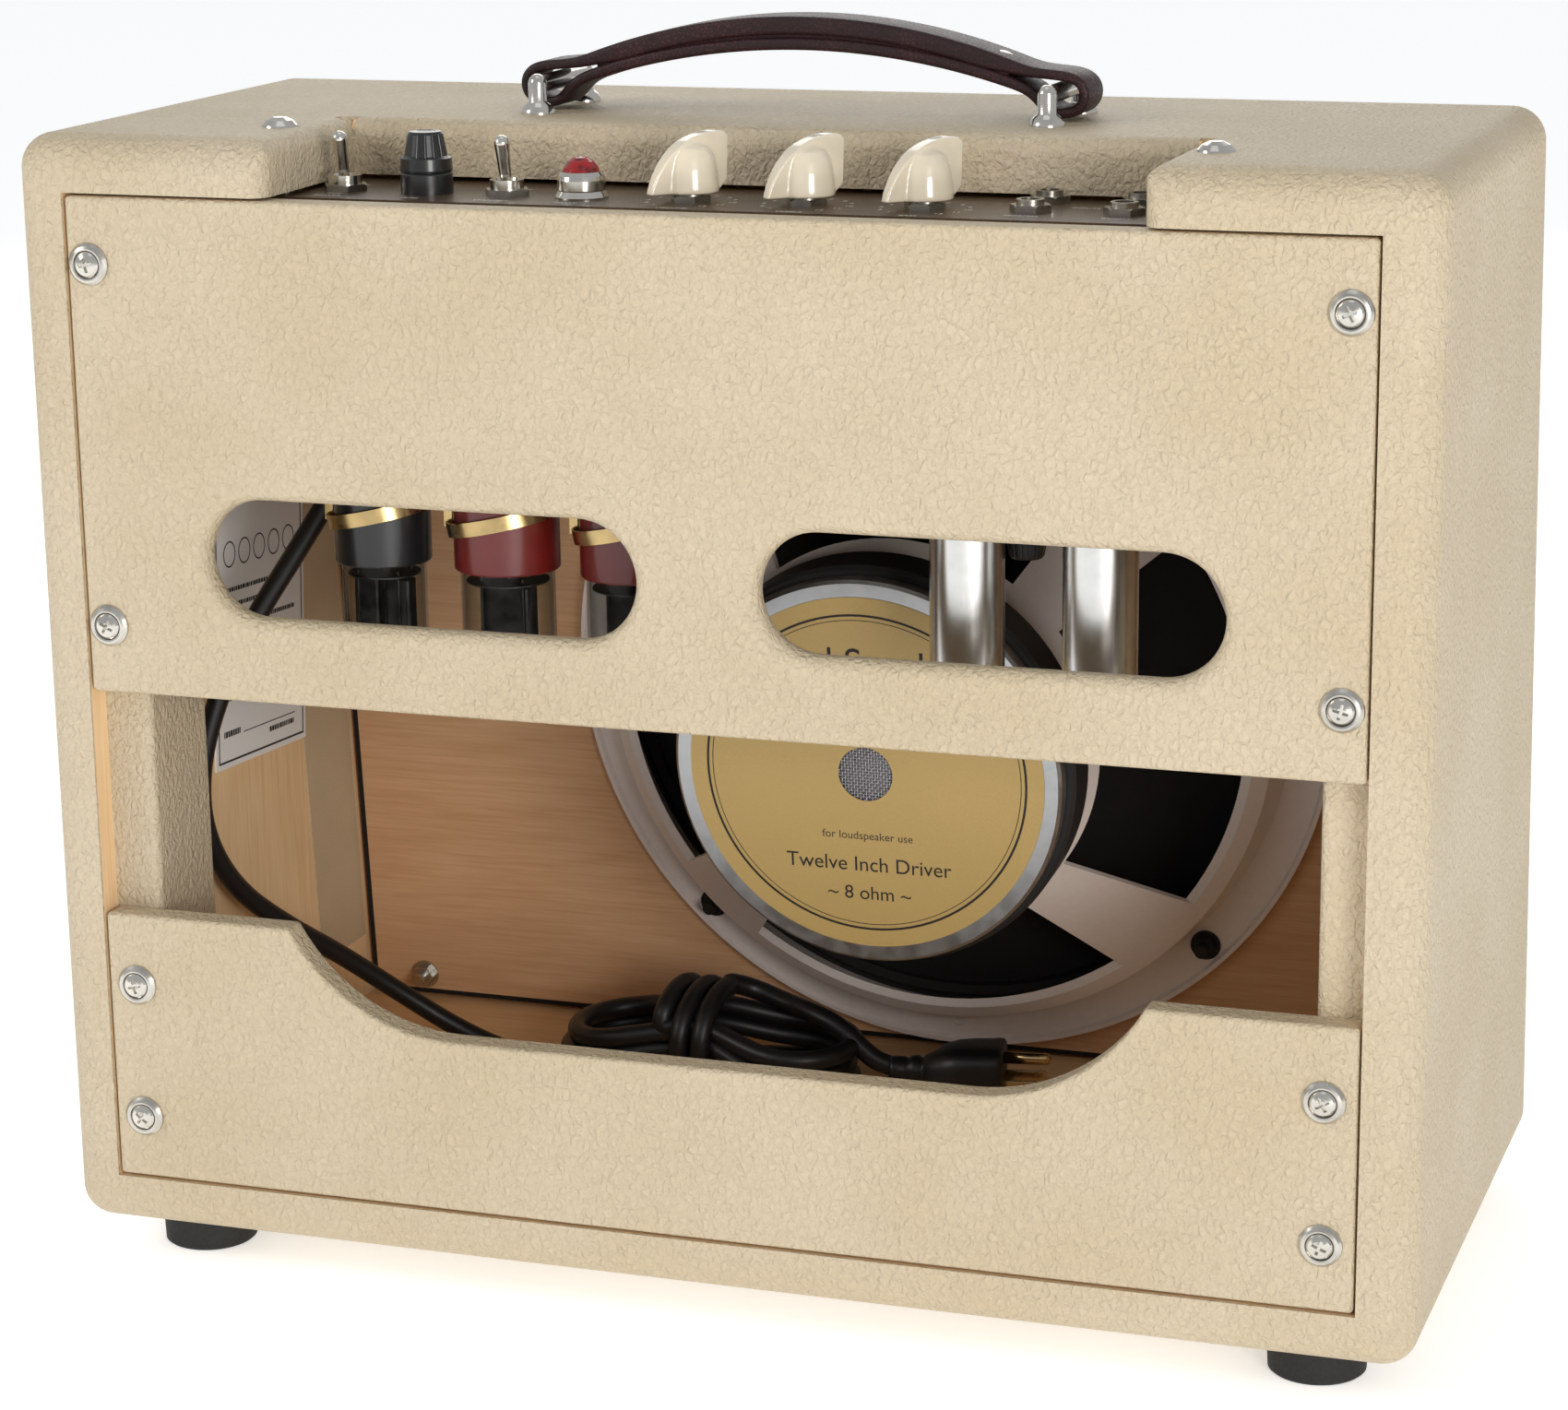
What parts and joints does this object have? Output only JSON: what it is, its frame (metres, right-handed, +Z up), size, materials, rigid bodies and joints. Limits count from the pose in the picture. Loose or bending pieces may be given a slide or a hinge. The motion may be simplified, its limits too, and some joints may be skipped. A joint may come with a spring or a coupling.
{
  "type": "tube amplifier",
  "caption": "Open-back combo tube amplifier: leaning covered cabinet, rear panels, controls in a recess along the top edge, speaker, hanging tubes, strap handle and stored mains lead.",
  "frame": {"origin": "on the floor under the middle of the amplifier's outer box", "axes": "+Z up; +Y out of the open back, -Y out of the leaning grille; +X towards the mains-lead side"},
  "size_m": [0.51, 0.258, 0.4594],
  "materials": {
    "pine": "raw sanded pine",
    "baffle_ply": "raw plywood",
    "vinyl": "pebbled cream vinyl covering",
    "covered_batten": "pine batten wrapped in the cream covering",
    "grille": "woven grille cloth",
    "zinc": "zinc-plated steel",
    "nickel": "nickel plate",
    "black_rubber": "matt rubber",
    "plated_steel": "plated sheet steel",
    "brown_panel": "brown enamel with white markings",
    "black_plastic": "black moulded plastic",
    "fuse_glass": "glass tube with metal ends",
    "jewel": "faceted red jewel",
    "lamp_glass": "clear lamp",
    "ivory": "ivory moulded plastic with steel shaft",
    "phenolic": "phenolic and steel",
    "fibre_board": "vulcanised fibre",
    "component_body": "dipped and moulded bodies",
    "can_aluminium": "drawn cans",
    "black_enamel": "black enamel over laminations",
    "brown_phenolic": "moulded phenolic",
    "spring_steel": "spring steel",
    "red_base": "deep red moulded base",
    "tube_glass": "clear blown glass",
    "electrode_metal": "carbonised nickel",
    "shield": "satin aluminium",
    "basket_paint": "pale painted steel",
    "ferrite": "ferrite with steel plate",
    "magnet_plate": "plated steel",
    "label_gold": "printed foil label",
    "cone_paper": "felted paper cone",
    "treated_cloth": "impregnated cloth",
    "burgundy_leather": "stitched leather with steel core",
    "chart_paper": "printed paper",
    "strip_felt": "grey felt strip",
    "cord_rubber": "flexible black jacket"
  },
  "bodies": {
    "cabinet": {"side_boards": "pine", "top_board": "pine", "bottom_board": "pine", "cleats": "covered_batten", "baffle_board": "baffle_ply", "vinyl_covering": "vinyl", "grille_cloth": "grille", "side_strips": "strip_felt", "baffle_bolts": "zinc", "upper_back_panel": "vinyl", "lower_back_panel": "vinyl", "back_panel_screws": "nickel", "cup_washers": "nickel", "rubber_feet": "black_rubber", "foot_screws": "zinc", "chassis": "plated_steel", "faceplate": "brown_panel", "chassis_bolts": "nickel", "toggle_switch_bodies": "nickel", "panel_nuts": "nickel", "fuse_holders": "black_plastic", "pilot_bezel": "nickel", "pilot_jewel": "jewel", "pilot_lamp": "lamp_glass", "potentiometers": "phenolic", "input_jacks": "phenolic", "circuit_board": "fibre_board", "board_components": "component_body", "filter_capacitors": "can_aluminium", "power_transformer": "black_enamel", "output_transformer": "black_enamel", "tube_sockets": "brown_phenolic", "tube_retainers": "spring_steel", "power_tube_bases": "red_base", "rectifier_base": "black_plastic", "tube_envelopes": "tube_glass", "tube_electrodes": "electrode_metal", "tube_shields": "shield", "speaker_basket": "basket_paint", "speaker_magnet": "ferrite", "speaker_back_plate": "magnet_plate", "magnet_label": "label_gold", "speaker_suspension": "treated_cloth", "handle_brackets": "nickel", "tube_chart": "chart_paper", "strain_relief": "black_rubber", "power_cord": "cord_rubber", "power_cord_hank": "cord_rubber", "power_plug": "black_rubber"},
    "power_switch": {"power_switch_lever": "nickel"},
    "standby_switch": {"standby_switch_lever": "nickel"},
    "first_knob": {"knob_1": "ivory"},
    "second_knob": {"knob_2": "ivory"},
    "third_knob": {"knob_3": "ivory"},
    "mains_fuse_link": {"mains_fuse": "fuse_glass"},
    "mains_fuse_top": {"mains_fuse_cap": "black_plastic"},
    "ht_fuse_link": {"ht_fuse": "fuse_glass"},
    "ht_fuse_top": {"ht_fuse_cap": "black_plastic"},
    "cone": {"speaker_cone": "cone_paper"},
    "handle": {"handle_strap": "burgundy_leather"}
  },
  "joints": [
    {"name": "power_switch_throw", "type": "hinge", "parent": "cabinet", "child": "power_switch", "pos_m": [0.1445, 0.08333, 0.4039], "axis": [1, 0, 0], "range_deg": [0, 24]},
    {"name": "standby_switch_throw", "type": "hinge", "parent": "cabinet", "child": "standby_switch", "pos_m": [0.0825, 0.08333, 0.4039], "axis": [1, 0, 0], "range_deg": [0, 24]},
    {"name": "first_knob_turn", "type": "hinge", "parent": "cabinet", "child": "first_knob", "pos_m": [0.014, 0.08333, 0.4124], "axis": [0, 0, 1], "range_deg": [-290, 0]},
    {"name": "second_knob_turn", "type": "hinge", "parent": "cabinet", "child": "second_knob", "pos_m": [-0.0282, 0.08333, 0.4124], "axis": [0, 0, 1], "range_deg": [-290, 0]},
    {"name": "third_knob_turn", "type": "hinge", "parent": "cabinet", "child": "third_knob", "pos_m": [-0.0704, 0.08333, 0.4124], "axis": [0, 0, 1], "range_deg": [-290, 0]},
    {"name": "mains_fuse_pull", "type": "slide", "parent": "cabinet", "child": "mains_fuse_link", "axis": [0, 0, 1], "range_m": [0, 0.03]},
    {"name": "mains_fuse_twist", "type": "hinge", "parent": "mains_fuse_link", "child": "mains_fuse_top", "pos_m": [0.113, 0.08333, 0.4144], "axis": [0, 0, 1], "range_deg": [0, 70]},
    {"name": "ht_fuse_pull", "type": "slide", "parent": "cabinet", "child": "ht_fuse_link", "axis": [0, 0, -1], "range_m": [0, 0.03]},
    {"name": "ht_fuse_twist", "type": "hinge", "parent": "ht_fuse_link", "child": "ht_fuse_top", "pos_m": [-0.099, 0.05583, 0.287], "axis": [0, 0, 1], "range_deg": [0, 70]},
    {"name": "cone_travel", "type": "slide", "parent": "cabinet", "child": "cone", "axis": [0, 0.9961, -0.0877], "range_m": [-0.003, 0.003], "stiffness_N_per_m": 6000},
    {"name": "handle_lift", "type": "slide", "parent": "cabinet", "child": "handle", "axis": [0, 0, 1], "range_m": [0, 0.002]}
  ]
}
